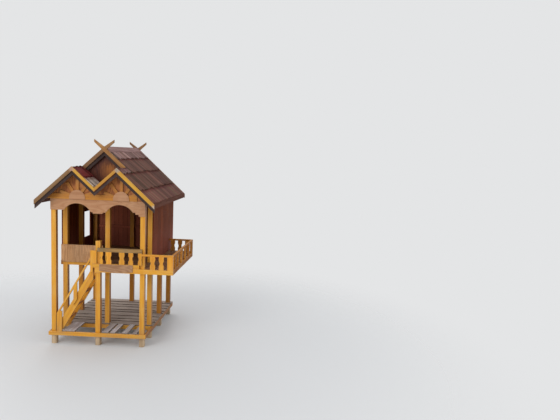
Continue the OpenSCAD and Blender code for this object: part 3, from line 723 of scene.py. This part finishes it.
disc_ply = timber(
    "disc_ply", srgb(186, 137, 100), srgb(162, 111, 75), srgb(206, 164, 128), wear=0.4, rough=0.7,
    relief=0.2,
)
ray_varnish = timber(
    "ray_varnish", srgb(188, 124, 54), srgb(160, 94, 38), srgb(204, 156, 98), wear=0.4, rough=0.5,
    relief=0.3,
)
behind_disc, millimetre = ((0, rays_front, 0), (0, 1, 0)), 0.001
burst = boards(
    "half_discs_and_rays", "sunbursts", "inner_timber", ray_varnish, [behind_disc],
    ease=0.001, tones=(0.96, 1.0),
)
burst.data.materials.append(disc_ply)
for polygon in burst.data.polygons:
    polygon.material_index = int(polygon.center.y < rays_front - millimetre)

# The grain runs along each ray, out from the middle of its half disc, and each has its own tint.
small_ridge, burst_shift, sun_height = 0.1975, 0.018, 1.357
ray_step, ray_tints = 35, (1.0, 0.9, 1.06, 0.94, 0.86)
along_apart, across_apart, side_apart = 0.6, 0.3, 0.1
grain_at, tint_at = burst.data.attributes["board"].data, burst.data.attributes["tint"].data
for vert in burst.data.vertices:
    if vert.co.y > rays_front - millimetre:
        on_right = vert.co.x > burst_shift
        centre = burst_shift + (small_ridge if on_right else -small_ridge)
        out, up = vert.co.x - centre, vert.co.z - sun_height
        turn = math.degrees(math.atan2(up, out)) - 90
        ray = max(-2, min(2, round(turn / ray_step)))
        aside = math.radians(turn - ray * ray_step)
        reach = math.hypot(out, up)
        grain_at[vert.index].vector = (
            reach * math.cos(aside) + along_apart * ray,
            reach * math.sin(aside) + across_apart * ray,
            vert.co.y + (out > 0) * side_apart,
        )
        tint_at[vert.index].color = [ray_tints[ray + 2]] * 3 + [1.0]


# Roof: boarded slopes under four overlapping courses of narrow split shingles with rounded ends.
# Their stain has gone purple-brown, faded to grey by the ridges, and low in the left side of the
# valley it has bleached away.
pitch = math.radians(42.5)
roof_half, roof_thick = 0.532, 0.022 / math.cos(pitch)
low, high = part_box("right_roof_slope")
roof_top = low.z + roof_half * math.tan(pitch) + roof_thick
roof_front, roof_rear = low.y, high.y
gable_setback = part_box("ridge_cap")[0].y
shingle_width, shingle_gap, shingle_butt, shingle_head = 0.0245, 0.0012, 0.0055, 0.0008
butt_rounding, covered, covered_fade = 0.44, 0.030, 0.022
shingle_sink, shingle_skew, shingle_drift, shingle_tones = 0.0012, 0.012, 0.8, (0.7, 1.3)
mottling, mottles_per_metre, butt_shadow_share = 0.6, 9, 0.55

shingle_stain = timber(
    "shingle_stain", srgb(255, 248, 244), srgb(184, 162, 154), srgb(255, 255, 255), wear=0.5,
    rough=0.8, gloss=0.12, relief=0.7,
)
faded, reddish, brown, lilac = (
    srgb(*colour)[:3] for colour in ((152, 122, 118), (112, 78, 66), (106, 72, 60), (120, 80, 70))
)
mossy, maroon, bleached, bed_brown = (
    srgb(*colour)[:3] for colour in ((96, 86, 62), (118, 50, 48), (236, 226, 212), (100, 62, 48))
)
# Painted shadow: the head of each shingle, just below the butts of the course above, is painted a darker
# red. This is partly stain kept from fading there and partly the butts' shadow.
kept_red_and_butt_shadow = [c * 0.72 for c in maroon]


def shingle(length):
    """One split shingle, from its thin head at the origin to its rounded butt. Two of its rows of
    vertices lie where the course above stops covering it."""
    shape = bmesh.new()
    bmesh.ops.create_grid(shape, x_segments=4, y_segments=1, size=0.5)
    bmesh.ops.scale(shape, vec=(length, shingle_width - shingle_gap, 1), verts=shape.verts)
    bmesh.ops.translate(shape, vec=(length / 2, 0, 0), verts=shape.verts)
    butt = [vert for vert in shape.verts if vert.co.x > length * 0.9]
    bmesh.ops.bevel(
        shape, geom=butt, offset=shingle_width * butt_rounding, segments=4, profile=0.5,
        affect="VERTICES", material=-1,
    )
    rows = sorted({round(vert.co.x, 5) for vert in shape.verts if vert.co.x < length * 0.8})
    for vert in shape.verts:
        if abs(vert.co.x - rows[1]) < 1e-4:
            vert.co.x = covered
        elif abs(vert.co.x - rows[2]) < 1e-4:
            vert.co.x = covered + covered_fade
    top = bmesh.ops.extrude_face_region(shape, geom=shape.faces[:])["geom"]
    for vert in top:
        if isinstance(vert, bmesh.types.BMVert):
            vert.co.z = shingle_head + (shingle_butt - shingle_head) * vert.co.x / length
    bmesh.ops.recalc_face_normals(shape, faces=shape.faces)
    # The extrusion leaves its faces in a different order each run.
    shape.faces.sort(key=lambda face: face.calc_center_median().dot((1, 3, 9)))
    mesh = bpy.data.meshes.new("one_shingle")
    shape.to_mesh(mesh)
    shape.free()
    return mesh


def lay_course(shape, upper, lower, y0, y1, stain, others, reach, stray):
    """Row of shingles between the two edges of a course. They reach past the lower edge, stray
    upwards, and their stain has drifted towards one of the others."""
    down = (lower - upper).normalized()
    across = Vector((0, 1, 0))
    out = down.cross(across) if down.cross(across).z > 0 else across.cross(down)
    turned = Matrix((down, out.cross(down), out)).transposed().to_4x4()
    one = shingle((lower - upper).length + reach)
    count = max(1, round((y1 - y0) / shingle_width))
    tint = shape.verts.layers.float_color["tint"]
    board = shape.verts.layers.float_vector["board"]
    for i in range(count):
        middle = Vector((upper.x, y0 + (y1 - y0) * (i + 0.5) / count, upper.z))
        origin = middle - out * shingle_sink - down * stray * chance.random() ** 1.3
        skewed = Matrix.Rotation(chance.uniform(-shingle_skew, shingle_skew), 4, "Z")
        seat = Matrix.Translation(origin) @ turned @ skewed
        known = len(shape.verts)
        shape.from_mesh(one)
        shape.verts.ensure_lookup_table()
        shift = place_in_grain()
        tone = chance.uniform(*shingle_tones) * (1 + mottling * noise.noise(origin * mottles_per_metre))
        other = chance.choice(others)
        share = chance.uniform(0.0, shingle_drift)
        mixed = [a + (b - a) * share for a, b in zip(stain, other)]
        for vert in shape.verts[known:]:
            vert[board] = vert.co + shift
            # Painted shadow: the head of each shingle, up to just below the butts above, turns towards the
            # darker red.
            butt_shadow = butt_shadow_share * (vert.co.x < covered + covered_fade / 2)
            vert[tint] = [tone * (c + (m - c) * butt_shadow) for c, m in zip(mixed, kept_red_and_butt_shadow)] + [1.0]
            vert.co = seat @ vert.co
    bpy.data.meshes.remove(one)


def shingle_bed():
    """Empty mesh with the attributes that shingles carry."""
    shape = bmesh.new()
    shape.verts.layers.float_vector.new("board")
    shape.verts.layers.float_color.new("tint")
    return shape


def on_slope(side, x, lift=0.0):
    """Point on the boarded slope at this distance from the ridge, raised by lift."""
    return Vector((side * x, 0, roof_top - x * math.tan(pitch) + lift))


course_edges = [roof_half * share for share in (0, 0.2, 0.45, 0.74, 1)]
course_lip, course_head = 0.009, 0.001
course_ends, eave_ends = (0.024, 0.026), (-0.0045, 0.008)
under_cap, past_small_ridge = 0.013, 0.012
for side, cad in ((1, "right_roof_slope"), (-1, "left_roof_slope")):
    boards(cad + "_boards", cad, "shingle", shingle_stain, paint=lambda middle: bed_brown)
    shape = shingle_bed()
    for x0, x1, stain in zip(course_edges, course_edges[1:], (faded, reddish, brown, lilac)):
        others = (stain, lilac, brown, mossy)
        ends = eave_ends if x1 == roof_half else course_ends
        upper, lower = on_slope(side, x0, course_head), on_slope(side, x1, course_lip)
        start = upper.lerp(lower, under_cap / (x1 - x0)) if x0 == 0 else upper
        lay_course(shape, start, lower, gable_setback, roof_rear, stain, others, *ends)
        if x0 < small_ridge < x1:
            start = upper.lerp(lower, (small_ridge + past_small_ridge - x0) / (x1 - x0))
            stain, others = faded, (faded, reddish, faded, reddish)
        if x1 > small_ridge:
            lay_course(shape, start, lower, roof_front, gable_setback, stain, others, *ends)
    place(cad.replace("roof_slope", "shingles"), shape, "shingle", shingle_stain)

valley_bed = [c * 0.8 for c in maroon]
boards("valley_boards", "valley_roof", "shingle", shingle_stain, paint=lambda middle: valley_bed)
shape = shingle_bed()
gutter_edge, valley_lap = 0.010, 0.003
gutter_ends, peak_ends = (0.0, 0.008), (0.006, 0.010)
gutter_height = roof_top - (2 * small_ridge - gutter_edge) * math.tan(pitch)
reds, worn_off = (maroon, lilac, brown, maroon), (mossy, mossy, mossy, bleached)
for side, low_stain, low_others in ((1, maroon, reds), (-1, bleached, worn_off)):
    peak, gutter = on_slope(side, small_ridge), Vector((side * gutter_edge, 0, gutter_height))
    half = peak.lerp(gutter, 0.5)
    lay_course(shape, half, gutter, roof_front, gable_setback, low_stain, low_others, *gutter_ends)
    half.z += valley_lap
    lay_course(shape, peak, half, roof_front, gable_setback, maroon, reds, *peak_ends)
place("valley_shingles", shape, "shingle", shingle_stain)
boards("ridge_boards", "ridge_cap", "shingle", shingle_stain, paint=lambda middle: faded)


# Bargeboards and horns: yellow boards along the twin gables over a deeper dark board, their ends
# worn bare, and at both ends of the ridge two boards that cross in a lap joint and end in horns.
bargeboard_depth, gable_board_depth = 0.030, 0.033
low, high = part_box("front_bargeboards")
peak_height, eave_height = high.z - 0.02, low.z + 0.008
board_line = low.z + bargeboard_depth / math.cos(pitch) + high.x * math.tan(pitch)
bargeboard_varnish = timber(
    "bargeboard_varnish", srgb(255, 250, 240), srgb(226, 200, 170), srgb(255, 250, 240), wear=0.4,
    rough=0.5, coat=0.05, spots=[
        ((small_ridge + 0.004, low.y, peak_height), 0.036, srgb(160, 146, 132)),
        ((-small_ridge, low.y, peak_height), 0.032, srgb(176, 138, 116)),
        ((high.x, low.y, eave_height), 0.032, srgb(184, 166, 150)),
    ],
)


def bargeboard_colour(middle):
    """The four bargeboards of the twin gables have kept their varnish unequally."""
    if middle.x < -small_ridge:
        return srgb(136, 106, 72)[:3]
    if middle.x > small_ridge:
        return srgb(204, 158, 58)[:3]
    return srgb(194, 142, 54)[:3] if middle.x > 0 else srgb(202, 156, 60)[:3]


twin_joints = [((x, 0, 0), (1, 0, 0)) for x in (-small_ridge, 0, small_ridge)]
boards(
    "twin_bargeboards", "front_bargeboards", "painted_timber", bargeboard_varnish, twin_joints,
    tones=(0.96, 1.04), paint=bargeboard_colour,
)
dark_stain = timber(
    "dark_stain", srgb(72, 54, 48), srgb(44, 32, 32), srgb(108, 86, 76), wear=0.4, rough=0.7,
    relief=0.4,
)
boards("dark_rake_boards", "rake_fascia", "dark_board", dark_stain, twin_joints)

# The flank colour here is painted shade on the faces that look left and right.
faded_varnish = timber(
    "faded_varnish", srgb(150, 110, 70), srgb(112, 76, 50), srgb(168, 136, 100),
    painted_flank_shade=srgb(110, 74, 46), wear=0.5, rough=0.62, relief=0.5,
)


def horn_tint(middle):
    """The board that runs down to the right has kept more of its yellow."""
    return (1.3, 1.2, 0.85) if middle.x > 0.015 and middle.z < board_line else (1, 1, 1)


slant = (math.sin(pitch), 0, math.cos(pitch))
board_foot = board_line - gable_board_depth / math.cos(pitch)
lap_joints = [((0, 0, board_line), slant), ((0, 0, board_foot), slant)]
boards("main_horns", "main_gable_horns", "painted_timber", faded_varnish, lap_joints, paint=horn_tint)
boards("rear_horns", "rear_gable_horns", "painted_timber", faded_varnish, lap_joints)
